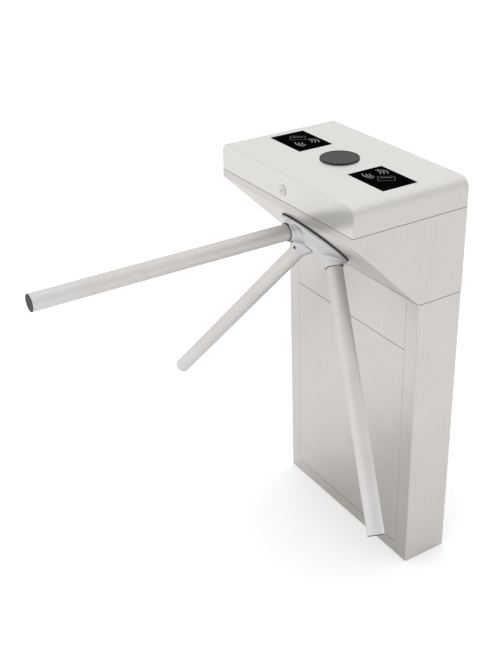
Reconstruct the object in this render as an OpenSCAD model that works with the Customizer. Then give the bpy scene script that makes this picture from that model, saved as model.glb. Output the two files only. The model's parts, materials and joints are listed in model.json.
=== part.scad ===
// Tripod turnstile with a slim pedestal, a cantilevered head and a lift-up lid.
// Origin: centre of the pedestal footprint on the floor. +X runs along the cabinet, the way
// visitors walk; -Y points across the passage, where the blocking arm reaches; +Z is up.

/* [Cabinet] */
// Length of the cabinet along the walking direction
cabinet_length = 516; // [490:1:540]
// Height from the floor to the top of the lid
cabinet_height = 1000; // [980:5:1020]
// Depth of the head from its back to its front edge
head_depth = 307; // [300:1:315]
// Depth of the slim pedestal
pedestal_depth = 123; // [120:1:130]
// Thickness of the head and panel sheet
sheet = 1.5; // [1.2:0.1:1.8]
// Thickness of the pedestal side channels
pedestal_sheet = 2; // [1.8:0.1:2.2]
// Thickness of the steel base plate
base_thickness = 12; // [10:1:15]

/* [Lid] */
// Height of the lid
lid_height = 65; // [60:1:70]
// Bend radius of the lid along its two short ends
lid_bend = 26; // [20:1:30]
// Height of the upright strip between the lid seam and the slope
strip_height = 20; // [18:1:24]
// Width of the gaps between sheet panels
seam = 1.2; // [0.8:0.1:1.4]

/* [Pedestal panels] */
// Distance from the cabinet end to the vertical panel seam
corner_wrap = 42; // [38:1:46]
// Height of the bottom strip
plinth_height = 34; // [30:1:40]
// Height of the seam above the service panel
service_seam_z = 599; // [580:1:620]

/* [Readers] */
// Size of each reader window along the cabinet
window_length = 125; // [118:1:126]
// Size of each reader window across the cabinet
window_width = 93; // [86:1:94]
// Distance from the middle of the lid to the middle of each window
window_offset = 153.5; // [150:0.5:156]
// Diameter of the indicator disc in the middle of the lid
indicator_d = 90; // [86:1:92]

/* [Hub and arms] */
// Outer diameter of the arm tubes
arm_d = 38; // [37:0.5:39]
// Wall thickness of the arm tubes
arm_wall = 1.5; // [1.2:0.1:2]
// Distance from the point where the arm axes meet to the arm tip
arm_reach = 714; // [690:1:720]
// Depth of that point behind the slope, along the hub axis
apex_depth = 45; // [44.5:0.5:45.5]
// Distance of the hub axis above the middle of the slope
hub_rise = 5.5; // [0:0.5:7]
// Radius of the hub base
hub_r = 92; // [91:0.5:92.5]
// Radius of the main shaft
shaft_r = 12.5; // [12.5:0.5:12.5]

/* [Drive] */
// Tooth module of the drive gears
tooth_module = 2; // [2:0.1:2]
// Teeth on the main gear
gear_teeth = 50; // [50:1:50]
// Teeth on the drive pinion
pinion_teeth = 15; // [15:1:15]

/* [Floor fixing] */
// Distance between anchor holes along the cabinet
anchor_spacing_x = 420; // [400:5:430]
// Distance between anchor holes across the cabinet
anchor_spacing_y = 70; // [66:1:74]
// Diameter of the anchor holes
anchor_hole_d = 13; // [12:0.5:14]
// Diameter of the cable entry in the base plate
cable_entry_d = 40; // [30:1:44]

/* [Hidden] */
$fn = 64;

steel = [0.83, 0.82, 0.80];
dark_steel = [0.45, 0.46, 0.47];
casting = [0.74, 0.75, 0.76];
black = [0.05, 0.05, 0.05];
board_green = [0.10, 0.35, 0.22];

half_l = cabinet_length / 2;
back_y = pedestal_depth / 2;
ped_front_y = -back_y;
head_front_y = back_y - head_depth;
lid_seam_z = cabinet_height - lid_height;
rim_z = lid_seam_z - seam;
slope_top_z = lid_seam_z - strip_height;
slope_rise = head_depth - pedestal_depth;
head_base_z = slope_top_z - slope_rise;
mid_y = (back_y + head_front_y) / 2;
hub_y = (head_front_y + ped_front_y - hub_rise * sqrt(2)) / 2;
hub_z = (slope_top_z + head_base_z + hub_rise * sqrt(2)) / 2;
edge_r = 3;
gap = seam / 2;

// Places along the hub axis, measured outwards from the slope
seal_h = 2.4;
hub_base_z = 2.9;
hub_top_z = 31;
boss_end = 112;
boss_r = 22.8;
tube_r = arm_d / 2;
tube_start = 74;
plug_cap = 1.5;
mech_z = -14;
mech_t = 6;
rear_plate_z = -121;
rear_plate_t = 4;
gear_z = -94;
gear_w = 8;
gear_r = tooth_module * gear_teeth / 2;
pinion_r = tooth_module * pinion_teeth / 2;
gear_centres = gear_r + pinion_r;
motor_r = 21;
index_r = 54;
running = 0.05;

// Hinge line behind the lid seam
knuckle_r = 4;
hinge_pin_r = 2;
hinge_leaf_t = 1.2;
hinge_y = back_y + knuckle_r + 0.4;
hinge_z = lid_seam_z - 0.1;
hinge_length = 440;
knuckles = 11;
knuckle_l = hinge_length / knuckles;

// Lid lock on the front skirt
lock_z = 959;
lock_flange_r = 12.5;
lock_body_r = 9.5;
lock_plug_r = 6;
lock_back_y = head_front_y + 23;

module on_hub_axis() {
    translate([0, hub_y, hub_z]) rotate([135, 0, 0]) children();
}

// Arm frame: origin where the arm axes meet, +Z along the arm; i turns about the hub axis
module on_arm(i) {
    on_hub_axis() in_hub_arm(i) children();
}

module in_hub_arm(i) {
    rotate([0, 0, 120 * i]) translate([0, 0, -apex_depth]) rotate([-45, 0, 0]) children();
}

module rounded_rect(w, d, r) {
    square([w - 2 * r, d], center = true);
    square([w, d - 2 * r], center = true);
    for (sx = [-1, 1], sy = [-1, 1])
        translate([sx * (w / 2 - r), sy * (d / 2 - r)]) circle(r);
}

module slab(x0, x1, y0, y1, z0, z1) {
    translate([x0, y0, z0]) cube([x1 - x0, y1 - y0, z1 - z0]);
}

// ---- pedestal ----

module base_plate() {
    clear = pedestal_sheet + 0.3;
    clear_y = 2 * pedestal_sheet + 0.3;
    color(dark_steel) difference() {
        slab(-half_l + clear, half_l - clear, -back_y + clear_y, back_y - clear_y, 0, base_thickness);
        for (sx = [-1, 1], sy = [-1, 1])
            translate([sx * anchor_spacing_x / 2, sy * anchor_spacing_y / 2, -1])
                cylinder(d = anchor_hole_d, h = base_thickness + 2);
        translate([0, 0, -1]) cylinder(d = cable_entry_d, h = base_thickness + 2);
    }
}

// Folded channel with a lip behind each panel seam
module side_channel() {
    wrap_x = half_l - corner_wrap;
    lip = 15;
    color(steel) linear_extrude(head_base_z - gap) {
        intersection() {
            difference() {
                rounded_rect(cabinet_length, pedestal_depth, edge_r);
                rounded_rect(cabinet_length - 2 * pedestal_sheet,
                    pedestal_depth - 2 * pedestal_sheet, edge_r - pedestal_sheet);
            }
            translate([wrap_x, -back_y]) square([corner_wrap, pedestal_depth]);
        }
        for (s = [-1, 1])
            translate([wrap_x - lip, s > 0 ? back_y - 2 * pedestal_sheet : -back_y + pedestal_sheet])
                square([2 * lip, pedestal_sheet]);
    }
}

module pedestal_side_right() { side_channel(); }

module pedestal_side_left() { mirror([1, 0, 0]) side_channel(); }

// Flat panel between the two channels, flush with their faces
module front_panel(z0, z1) {
    panel_x = half_l - corner_wrap - gap;
    color(steel) slab(-panel_x, panel_x, ped_front_y, ped_front_y + sheet, z0, z1);
}

module plinth_strip() { front_panel(0, plinth_height - gap); }

module service_panel() {
    flange_x = half_l - corner_wrap - 30;
    front_panel(plinth_height + gap, service_seam_z - gap);
    color(steel) for (z = [plinth_height + 20, service_seam_z - 20 - sheet])
        slab(-flange_x, flange_x, ped_front_y + sheet, ped_front_y + 16, z, z + sheet);
}

module pedestal_upper_panel() { front_panel(service_seam_z + gap, head_base_z - gap); }

module pedestal_back_panel() {
    panel_x = half_l - corner_wrap - gap;
    color(steel) slab(-panel_x, panel_x, back_y - sheet, back_y, 0, head_base_z - gap);
}

module rear_stiffener() {
    color(dark_steel)
        slab(-70, 70, back_y - sheet - 4, back_y - sheet, base_thickness, head_base_z - 30);
}

// Welded frame that joins the head to the pedestal
module head_frame() {
    out_x = half_l - pedestal_sheet - 0.4;
    out_y = back_y - 2 * pedestal_sheet - 0.4;
    wall = 3;
    color(dark_steel) difference() {
        slab(-out_x, out_x, -out_y, out_y, head_base_z - 20, head_base_z + 20);
        slab(-out_x + wall, out_x - wall, -out_y + wall, out_y - wall,
            head_base_z - 21, head_base_z + 21);
    }
}

// ---- head ----

module head_cheek(x0) {
    translate([x0, 0, 0]) rotate([90, 0, 90]) linear_extrude(sheet) polygon([
        [back_y, head_base_z + gap], [back_y, rim_z], [head_front_y, rim_z],
        [head_front_y, slope_top_z], [ped_front_y - gap, head_base_z + gap]]);
}

module head_cheek_right() { color(steel) head_cheek(half_l - sheet); }

module head_cheek_left() { color(steel) head_cheek(-half_l); }

// Upright strip and 45 degree slope folded from one sheet, with the hub opening
module head_slope_plate() {
    inside = sheet * sqrt(2);
    line = head_front_y + slope_top_z;
    low_z = head_base_z + gap;
    color(steel) difference() {
        translate([-half_l + sheet, 0, 0]) rotate([90, 0, 90])
            linear_extrude(cabinet_length - 2 * sheet) polygon([
                [head_front_y, rim_z], [head_front_y, slope_top_z], [line - low_z, low_z],
                [line + inside - low_z, low_z],
                [head_front_y + sheet, line + inside - head_front_y - sheet],
                [head_front_y + sheet, rim_z]]);
        on_hub_axis() translate([0, 0, -10]) cylinder(r = 30, h = 20);
    }
}

module head_back_panel() {
    color(steel) slab(-half_l + sheet, half_l - sheet, back_y - sheet, back_y,
        head_base_z + gap, rim_z);
}

module head_rim_frame() {
    bar = 14;
    color(steel) difference() {
        slab(-half_l + sheet, half_l - sheet, head_front_y + sheet, back_y - sheet, rim_z - 2, rim_z);
        slab(-half_l + sheet + bar, half_l - sheet - bar, head_front_y + sheet + bar,
            back_y - sheet - bar, rim_z - 3, rim_z + 1);
    }
}

module lid_gasket() {
    inset = 1;
    bar = 8;
    color(black) difference() {
        slab(-half_l + inset, half_l - inset, head_front_y + inset, back_y - inset,
            rim_z, lid_seam_z - 0.1);
        slab(-half_l + bar, half_l - bar, head_front_y + bar, back_y - bar,
            rim_z - 1, lid_seam_z + 1);
    }
}

// Post with a turned-over tab that the lock cam swings under
module lid_catch() {
    post_y = head_front_y + 13.5;
    color(dark_steel) {
        slab(26, 40, post_y, post_y + 2, rim_z, lock_z + 11);
        slab(26, 40, post_y, lock_back_y + 6, lock_z + 9, lock_z + 11);
    }
}

// ---- mechanism, in the hub frame ----

module hub_seal_ring() {
    color(black) on_hub_axis() difference() {
        cylinder(r = hub_r + 1, h = seal_h);
        translate([0, 0, -1]) cylinder(r = 60, h = seal_h + 2);
    }
}

module mech_plate() {
    color(dark_steel) on_hub_axis() difference() {
        translate([-100, -72, mech_z - mech_t]) cube([200, 144, mech_t]);
        translate([0, 0, mech_z - mech_t - 1]) cylinder(r = 31.5, h = mech_t + 2);
    }
}

module mech_standoffs() {
    color(dark_steel) on_hub_axis() for (sx = [-1, 1], sy = [-1, 1])
        translate([sx * 88, sy * 60, mech_z]) cylinder(r = 6, h = -mech_z - sheet);
}

module bearing_housing() {
    color(casting) on_hub_axis() difference() {
        union() {
            translate([0, 0, -74]) cylinder(r = 31, h = 64);
            translate([0, 0, mech_z - mech_t - 8]) cylinder(r = 48, h = 8);
        }
        translate([0, 0, -75]) cylinder(r = 19, h = 70);
        translate([0, 0, -75]) cylinder(r = 23.5, h = 14);
        translate([0, 0, -24]) cylinder(r = 23.5, h = 15);
        for (a = [45:90:315]) rotate([0, 0, a]) translate([40, 0, -30]) cylinder(r = 2.6, h = 12);
    }
}

module bearing(z) {
    color(steel) on_hub_axis() translate([0, 0, z]) difference() {
        cylinder(r = 23.45, h = 12);
        translate([0, 0, -1]) cylinder(r = shaft_r + running, h = 14);
        for (side = [-1, 11.4]) translate([0, 0, side]) difference() {
            cylinder(r = 20.5, h = 1.6);
            translate([0, 0, -1]) cylinder(r = 15.5, h = 4);
        }
    }
}

module front_bearing() { bearing(-24 + 0.5); }

module rear_bearing() { bearing(-73.5); }

module rear_plate() {
    color(dark_steel) on_hub_axis() difference() {
        translate([-65, -55, rear_plate_z - rear_plate_t]) cube([130, 110, rear_plate_t]);
        translate([0, 0, rear_plate_z - rear_plate_t - 1]) cylinder(r = 15, h = rear_plate_t + 2);
    }
}

module rear_pillars() {
    color(steel) on_hub_axis() for (sx = [-1, 1], sy = [-1, 1])
        translate([sx * 57, sy * 47, rear_plate_z])
            cylinder(r = 4, h = mech_z - mech_t - rear_plate_z);
}

module brake_coil() {
    color(black) on_hub_axis() translate([0, 0, rear_plate_z]) difference() {
        cylinder(r = 36, h = 16);
        translate([0, 0, -1]) cylinder(r = 16, h = 18);
    }
}

module drive_motor() {
    color(dark_steel) on_hub_axis() translate([gear_centres, 0, 0]) {
        difference() {
            translate([0, 0, -74]) cylinder(r = motor_r, h = 44);
            translate([0, 0, -75]) cylinder(r = 5, h = 12);
        }
    }
}

module motor_bracket() {
    x0 = gear_centres - 15;
    x1 = gear_centres + 25;
    top_z = mech_z - mech_t;
    color(steel) on_hub_axis() difference() {
        union() {
            for (s = [-1, 1]) translate([x0, s * 26.5 - 1.5, -77]) cube([x1 - x0, 3, 77 + top_z]);
            translate([x0, -28, -77]) cube([x1 - x0, 56, 3]);
        }
        translate([gear_centres, 0, -78]) cylinder(r = 9, h = 6);
    }
}

// Two optical forks that straddle the rim of the index disc
module count_sensors() {
    color(black) on_hub_axis() for (a = [150, 210]) rotate([0, 0, a]) difference() {
        translate([index_r - 10, -7, -85.5]) cube([24, 14, 12.5]);
        translate([index_r - 11, -8, -83]) cube([15, 16, 5]);
    }
}

// ---- electrical parts in the pedestal ----

module power_supply() {
    color(casting) union() {
        slab(-200, -40, 8, 52, base_thickness, base_thickness + 98);
        slab(-196, -150, 0, 8, base_thickness + 8, base_thickness + 90);
    }
}

module backup_battery() {
    color(black) union() {
        slab(45, 196, -13, 52, base_thickness, base_thickness + 94);
        for (x = [57, 184]) slab(x - 3, x + 3, 10, 16, base_thickness + 94, base_thickness + 100);
    }
}

module control_board() {
    board_y = back_y - sheet - 4 - 12;
    color(board_green) union() {
        slab(-95, 95, board_y - 1.6, board_y, 300, 420);
        for (x = [-60, 60], z = [310, 410])
            translate([x, board_y + 12, z]) rotate([90, 0, 0]) cylinder(r = 4, h = 12);
        slab(-80, -40, board_y - 14, board_y - 1.6, 390, 412);
        slab(-20, 10, board_y - 5, board_y - 1.6, 350, 380);
        slab(30, 86, board_y - 12, board_y - 1.6, 304, 318);
    }
}

// ---- lid ----

module lid_profile(inset) {
    w = cabinet_length - 2 * inset;
    top = cabinet_height - inset;
    r = lid_bend - inset;
    translate([-w / 2, lid_seam_z - (inset > 0 ? 1 : 0)])
        square([w, top - r - lid_seam_z + (inset > 0 ? 1 : 0)]);
    translate([-w / 2 + r, lid_seam_z + 1]) square([w - 2 * r, top - lid_seam_z - 1]);
    for (s = [-1, 1]) translate([s * (w / 2 - r), top - r]) circle(r);
}

module lid_shell() {
    color(steel) difference() {
        translate([0, back_y, 0]) rotate([90, 0, 0]) linear_extrude(head_depth) lid_profile(0);
        translate([0, back_y - sheet, 0]) rotate([90, 0, 0])
            linear_extrude(head_depth - 2 * sheet) lid_profile(sheet);
        for (s = [-1, 1]) translate([s * window_offset, mid_y, cabinet_height - 5])
            linear_extrude(10) rounded_rect(window_length, window_width, 2);
        translate([0, mid_y, cabinet_height - 5]) cylinder(r = indicator_d / 2 - 8.7, h = 10);
        translate([0, head_front_y + 5, lock_z]) rotate([90, 0, 0])
            cylinder(r = lock_body_r + 0.1, h = 10);
    }
}

module reader_window(s) {
    top = cabinet_height;
    color(black) translate([s * window_offset, mid_y, 0]) {
        translate([0, 0, top - 3]) linear_extrude(3)
            rounded_rect(window_length - 0.8, window_width - 0.8, 1.8);
        translate([0, 0, top - 4.5]) linear_extrude(3)
            rounded_rect(window_length + 10, window_width + 10, 4);
    }
}

module reader_window_left() { reader_window(-1); }

module reader_window_right() { reader_window(1); }

// Antenna board hung below its window
module reader_board(s) {
    top = cabinet_height - 4.5;
    color(board_green) translate([s * window_offset, mid_y, 0]) {
        translate([0, 0, top - 10.6]) linear_extrude(1.6) difference() {
            rounded_rect(108, 78, 3);
            circle(4);
        }
        for (sx = [-1, 1], sy = [-1, 1]) translate([sx * 48, sy * 33, top - 9]) cylinder(r = 3, h = 9);
        translate([-14, -10, top - 12.6]) cube([28, 12, 2]);
    }
}

module reader_board_left() { reader_board(-1); }

module reader_board_right() { reader_board(1); }

module indicator_lens() {
    color([0.3, 0.3, 0.31]) translate([0, mid_y, cabinet_height]) {
        cylinder(r = indicator_d / 2 - 2.6, h = 3.4);
        translate([0, 0, -8]) cylinder(r = indicator_d / 2 - 9, h = 8);
    }
}

module indicator_bezel() {
    color(black) translate([0, mid_y, cabinet_height]) difference() {
        cylinder(r = indicator_d / 2, h = 4);
        translate([0, 0, -1]) cylinder(r = indicator_d / 2 - 2.4, h = 6);
    }
}

module indicator_board() {
    color(board_green) translate([0, mid_y, cabinet_height - 16]) {
        cylinder(r = 34, h = 1.6);
        for (a = [0:120:240]) rotate([0, 0, a]) translate([27, 0, 1.6]) cylinder(r = 2.5, h = 6.4);
    }
}

// Piano hinge: the leaf below the seam has the even knuckles, the lid's leaf the odd ones
module hinge_leaf(side, first) {
    leaf_h = 20;
    reach = knuckle_r + 0.6;
    for (k = [first:2:knuckles - 1]) {
        x0 = -hinge_length / 2 + k * knuckle_l + 0.2;
        translate([x0, hinge_y, hinge_z]) rotate([0, 90, 0]) cylinder(r = knuckle_r, h = knuckle_l - 0.4);
        slab(x0, x0 + knuckle_l - 0.4, back_y, back_y + hinge_leaf_t + 0.6,
            side > 0 ? hinge_z + 0.8 : hinge_z - reach, side > 0 ? hinge_z + reach : hinge_z - 0.8);
    }
    slab(-hinge_length / 2 + 0.2, hinge_length / 2 - 0.2, back_y, back_y + hinge_leaf_t,
        side > 0 ? hinge_z + reach : hinge_z - leaf_h, side > 0 ? hinge_z + leaf_h : hinge_z - reach);
}

module hinge_bore(r) {
    translate([-hinge_length / 2 - 1, hinge_y, hinge_z]) rotate([0, 90, 0])
        cylinder(r = r, h = hinge_length + 2);
}

module hinge_leaf_cabinet() {
    color(steel) difference() {
        hinge_leaf(-1, 0);
        hinge_bore(hinge_pin_r + running);
    }
}

module hinge_leaf_lid() {
    color(steel) difference() {
        hinge_leaf(1, 1);
        hinge_bore(hinge_pin_r + running);
    }
}

module hinge_pin() {
    color(dark_steel) translate([-hinge_length / 2, hinge_y, hinge_z]) rotate([0, 90, 0])
        cylinder(r = hinge_pin_r, h = hinge_length);
}

// Frame of the lock: origin on the lid's front face, +Z out towards the user
module on_lock() {
    translate([0, head_front_y, lock_z]) rotate([90, 0, 0]) children();
}

module lock_barrel() {
    color(casting) on_lock() difference() {
        union() {
            cylinder(r = lock_flange_r, h = 2.2);
            translate([0, 0, -22]) cylinder(r = lock_body_r, h = 23);
        }
        translate([0, 0, -23]) cylinder(r = lock_plug_r + running, h = 30);
    }
}

module lock_nut() {
    color(steel) on_lock() translate([0, 0, -sheet - 5]) difference() {
        cylinder(r = 14, h = 5, $fn = 6);
        translate([0, 0, -1]) cylinder(r = lock_body_r + 0.05, h = 8);
    }
}

module lock_plug() {
    color(casting) on_lock() difference() {
        translate([0, 0, -26]) cylinder(r = lock_plug_r, h = 28.6);
        translate([-3.6, -0.7, -2]) cube([7.2, 1.4, 6]);
    }
}

// Flat cam; it hangs down when the lid is free to open
module lock_cam() {
    color(steel) on_lock() translate([0, 0, -24.6]) difference() {
        union() {
            cylinder(r = 9, h = 2);
            translate([-6, -30, 0]) cube([12, 30, 2]);
        }
        translate([0, 0, -1]) cylinder(r = lock_plug_r + running, h = 4);
    }
}

// ---- rotor ----

module hub_casting() {
    color(casting) on_hub_axis() difference() {
        intersection() {
            union() {
                rotate_extrude() polygon([[0, hub_base_z], [hub_r - 1, hub_base_z],
                    [hub_r, hub_base_z + 1], [hub_r, 10], [hub_r - 3, 13], [60, 25],
                    [34, 30], [20, hub_top_z], [0, hub_top_z]]);
                for (i = [0:2]) in_hub_arm(i) translate([0, 0, 60])
                    cylinder(r1 = 42, r2 = boss_r, h = boss_end - 60);
            }
            translate([0, 0, hub_base_z]) cylinder(r = hub_r, h = 80);
        }
        for (i = [0:2]) intersection() {
            in_hub_arm(i) translate([0, 0, tube_start - 0.1]) cylinder(r = tube_r + 0.05, h = 60);
            translate([0, 0, 6.9]) cylinder(r = 2 * hub_r, h = 80);
        }
        for (i = [0:2]) in_hub_arm(i) {
            translate([0, 0, boss_end - 3]) cylinder(r = tube_r + 1.8, h = 10);
            rotate([0, 0, 38]) translate([0, -tube_r - 1.9, boss_end - 6])
                rotate([90, 0, 0]) cylinder(r = 4, h = 30);
        }
        translate([0, 0, -1]) cylinder(r = shaft_r + running, h = 17);
        translate([0, 0, 10]) cylinder(r = 4.2, h = 12);
        translate([0, 0, 20]) cylinder(r = 8, h = 20);
    }
}

module hub_cap() {
    color(casting) on_hub_axis() rotate_extrude() polygon([[0, 28.4], [7.9, 28.4],
        [7.9, hub_top_z], [13, hub_top_z], [13, 33.5], [10, 35.5], [5, 36.8], [0, 36.8]]);
}

module hub_bolt() {
    color(dark_steel) on_hub_axis() difference() {
        union() {
            translate([0, 0, 20]) cylinder(r = 6.5, h = 8);
            translate([0, 0, -12]) cylinder(r = 4, h = 32);
        }
        translate([0, 0, 23]) cylinder(r = 3.4, h = 8, $fn = 6);
    }
}

module arm_tube(i) {
    color(steel) on_hub_axis() intersection() {
        in_hub_arm(i) difference() {
            translate([0, 0, tube_start])
                cylinder(r = tube_r, h = arm_reach - plug_cap - 0.1 - tube_start);
            translate([0, 0, tube_start - 1])
                cylinder(r = tube_r - arm_wall, h = arm_reach - tube_start + 2);
        }
        translate([0, 0, 7]) cylinder(r = arm_reach, h = arm_reach);
    }
}

module arm_tube_a() { arm_tube(0); }

module arm_tube_b() { arm_tube(1); }

module arm_tube_c() { arm_tube(2); }

// Push-in end plugs, each with a thin cap over the end of its tube
module arm_plugs() {
    color(black) for (i = [0:2]) on_arm(i) difference() {
        union() {
            translate([0, 0, arm_reach - 22]) cylinder(r = tube_r - arm_wall - 0.05, h = 21);
            translate([0, 0, arm_reach - plug_cap]) cylinder(r = tube_r - 0.1, h = plug_cap);
        }
        translate([0, 0, arm_reach - 23]) cylinder(r = tube_r - arm_wall - 2.5, h = 19);
    }
}

module socket_seals() {
    color(black) for (i = [0:2]) on_arm(i) translate([0, 0, boss_end - 2.9]) difference() {
        cylinder(r = tube_r + 1.75, h = 2.5);
        translate([0, 0, -1]) cylinder(r = tube_r + running, h = 5);
    }
}

module clamp_screws() {
    color(black) for (i = [0:2]) on_arm(i) rotate([0, 0, 38])
        translate([0, -tube_r - 2, boss_end - 6]) rotate([90, 0, 0]) difference() {
            cylinder(r = 3.9, h = 3.4);
            translate([0, 0, 1.4]) cylinder(r = 2, h = 3, $fn = 6);
        }
}

module main_shaft() {
    color(steel) on_hub_axis() difference() {
        union() {
            translate([0, 0, rear_plate_z - 8]) cylinder(r = shaft_r, h = 16 - rear_plate_z + 8);
            translate([0, 0, -60.8]) cylinder(r = 15, h = 36);
        }
        translate([0, 0, -12.5]) cylinder(r = 4.02, h = 40);
    }
}

// Straight-flanked gear outline, a little thinner than the pitch allows so it runs freely
module gear_outline(teeth, phase) {
    r = tooth_module * teeth / 2;
    step = 360 / teeth;
    root = r - 1.25 * tooth_module;
    tip = r + 0.8 * tooth_module;
    wide = step * 0.33;
    narrow = step * 0.13;
    polygon([for (k = [0:teeth - 1]) for (p = [[root, -wide], [tip, -narrow], [tip, narrow],
        [root, wide]]) [p[0] * cos(phase + k * step + p[1]), p[0] * sin(phase + k * step + p[1])]]);
}

module main_gear() {
    color(steel) on_hub_axis() translate([0, 0, gear_z]) difference() {
        union() {
            linear_extrude(gear_w) gear_outline(gear_teeth, 0);
            translate([0, 0, -3]) cylinder(r = 22, h = gear_w + 3);
        }
        translate([0, 0, -5]) cylinder(r = shaft_r + running, h = gear_w + 10);
        for (a = [30:60:330]) rotate([0, 0, a]) translate([34, 0, -1]) cylinder(r = 7, h = gear_w + 2);
    }
}

// Disc with six slots that the optical forks read, one pair for each third of a turn
module index_disc() {
    color(dark_steel) on_hub_axis() translate([0, 0, -82]) difference() {
        union() {
            cylinder(r = index_r, h = 3);
            translate([0, 0, -3]) cylinder(r = 20, h = 8);
        }
        translate([0, 0, -5]) cylinder(r = shaft_r + running, h = 12);
        for (a = [0:60:300]) rotate([0, 0, a]) translate([index_r - 8, -3, -1]) cube([10, 6, 5]);
    }
}

module brake_armature() {
    color(dark_steel) on_hub_axis() translate([0, 0, -104.6]) difference() {
        union() {
            cylinder(r = 36, h = 4);
            cylinder(r = 22, h = 7);
        }
        translate([0, 0, -1]) cylinder(r = shaft_r + running, h = 9);
    }
}

module drive_pinion() {
    color(steel) on_hub_axis() translate([gear_centres, 0, gear_z - 1]) union() {
        linear_extrude(gear_w + 2) gear_outline(pinion_teeth, 0);
        cylinder(r = 4, h = 30);
    }
}

base_plate();
pedestal_side_left();
pedestal_side_right();
pedestal_back_panel();
pedestal_upper_panel();
service_panel();
plinth_strip();
rear_stiffener();
head_frame();
head_cheek_left();
head_cheek_right();
head_slope_plate();
head_back_panel();
head_rim_frame();
lid_gasket();
lid_catch();
hub_seal_ring();
mech_plate();
mech_standoffs();
bearing_housing();
front_bearing();
rear_bearing();
rear_plate();
rear_pillars();
brake_coil();
drive_motor();
motor_bracket();
count_sensors();
power_supply();
backup_battery();
control_board();
hinge_leaf_cabinet();
hinge_pin();
lid_shell();
reader_window_left();
reader_window_right();
reader_board_left();
reader_board_right();
indicator_lens();
indicator_bezel();
indicator_board();
hinge_leaf_lid();
lock_barrel();
lock_nut();
lock_plug();
lock_cam();
hub_casting();
hub_cap();
hub_bolt();
arm_tube_a();
arm_tube_b();
arm_tube_c();
arm_plugs();
socket_seals();
clamp_screws();
main_shaft();
main_gear();
index_disc();
brake_armature();
drive_pinion();
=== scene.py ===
import json
import math

import bmesh
import bpy
from mathutils import Matrix, Vector


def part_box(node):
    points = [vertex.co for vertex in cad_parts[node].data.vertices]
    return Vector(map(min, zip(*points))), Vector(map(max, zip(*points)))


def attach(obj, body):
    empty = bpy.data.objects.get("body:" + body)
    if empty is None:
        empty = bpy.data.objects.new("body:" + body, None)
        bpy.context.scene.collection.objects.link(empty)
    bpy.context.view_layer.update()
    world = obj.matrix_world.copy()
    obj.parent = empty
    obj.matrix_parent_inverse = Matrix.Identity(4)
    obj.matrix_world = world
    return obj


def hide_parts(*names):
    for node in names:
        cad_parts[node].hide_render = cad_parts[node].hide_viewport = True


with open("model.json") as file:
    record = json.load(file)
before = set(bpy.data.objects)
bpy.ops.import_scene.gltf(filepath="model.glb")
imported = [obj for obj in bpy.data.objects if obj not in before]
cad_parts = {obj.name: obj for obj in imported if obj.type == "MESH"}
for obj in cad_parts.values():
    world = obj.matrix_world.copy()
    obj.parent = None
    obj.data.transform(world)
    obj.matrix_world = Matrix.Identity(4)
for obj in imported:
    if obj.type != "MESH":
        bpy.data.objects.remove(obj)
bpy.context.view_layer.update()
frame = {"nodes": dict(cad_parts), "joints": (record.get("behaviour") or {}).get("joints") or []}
mm = 0.001
print("frame loaded")


# small helpers

def hexLinear(text):
    parts = [int(text[i:i + 2], 16) / 255 for i in (1, 3, 5)]
    return tuple([p / 12.92 if p <= 0.04045 else ((p + 0.055) / 1.055) ** 2.4 for p in parts] + [1.0])


def addNode(tree, kind, settings=None, links=None):
    node = tree.nodes.new(kind)
    for key, value in (settings or {}).items():
        if isinstance(key, int) or key in node.inputs:
            node.inputs[key].default_value = value
        else:
            setattr(node, key, value)
    for key, source in (links or {}).items():
        tree.links.new(source, node.inputs[key])
    return node


def newMaterial(name):
    material = bpy.data.materials.new(name)
    material.use_nodes = True
    tree = material.node_tree
    return material, tree, tree.nodes["Principled BSDF"]


def jointFacts(name):
    return next(j for j in frame["joints"] if j["name"] == name)


def lathe(profile, place, segments=72, bm=None):
    # profile is a closed loop of (radius, height) turned about the local Z axis
    bm = bm or bmesh.new()
    rings = []
    for radius, height in profile:
        if radius < 1e-7:
            rings.append([bm.verts.new(place @ Vector((0, 0, height)))])
            continue
        ring = []
        for k in range(segments):
            turn = 2 * math.pi * k / segments
            point = Vector((radius * math.cos(turn), radius * math.sin(turn), height))
            ring.append(bm.verts.new(place @ point))
        rings.append(ring)
    for lower, upper in zip(rings, rings[1:] + rings[:1]):
        if len(lower) == 1 and len(upper) == 1:
            continue
        for k in range(segments):
            n = (k + 1) % segments
            if len(lower) == 1:
                bm.faces.new((lower[0], upper[n], upper[k]))
            elif len(upper) == 1:
                bm.faces.new((lower[k], lower[n], upper[0]))
            else:
                bm.faces.new((lower[k], lower[n], upper[n], upper[k]))
    return bm


def roundedCorner(radius, height, size, turnFrom, steps=4):
    # points of a quarter circle whose centre is (radius, height), for lathe profiles
    return [(radius + size * math.cos(math.radians(turnFrom + 90 * k / steps)),
             height + size * math.sin(math.radians(turnFrom + 90 * k / steps))) for k in range(steps + 1)]


def prism(outline, low, high, place, bm):
    bottom = [bm.verts.new(place @ Vector((x, y, low))) for x, y in outline]
    top = [bm.verts.new(place @ Vector((x, y, high))) for x, y in outline]
    bm.faces.new(top)
    bm.faces.new(bottom[::-1])
    for k in range(len(outline)):
        n = (k + 1) % len(outline)
        bm.faces.new((bottom[k], bottom[n], top[n], top[k]))
    return bm


def roundedOutline(width, depth, radius, steps=5):
    points = []
    for sx, sy, start in ((1, 1, 0), (-1, 1, 90), (-1, -1, 180), (1, -1, 270)):
        for k in range(steps + 1):
            turn = math.radians(start + 90 * k / steps)
            points.append((sx * (width / 2 - radius) + radius * math.cos(turn),
                           sy * (depth / 2 - radius) + radius * math.sin(turn)))
    return points


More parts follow.
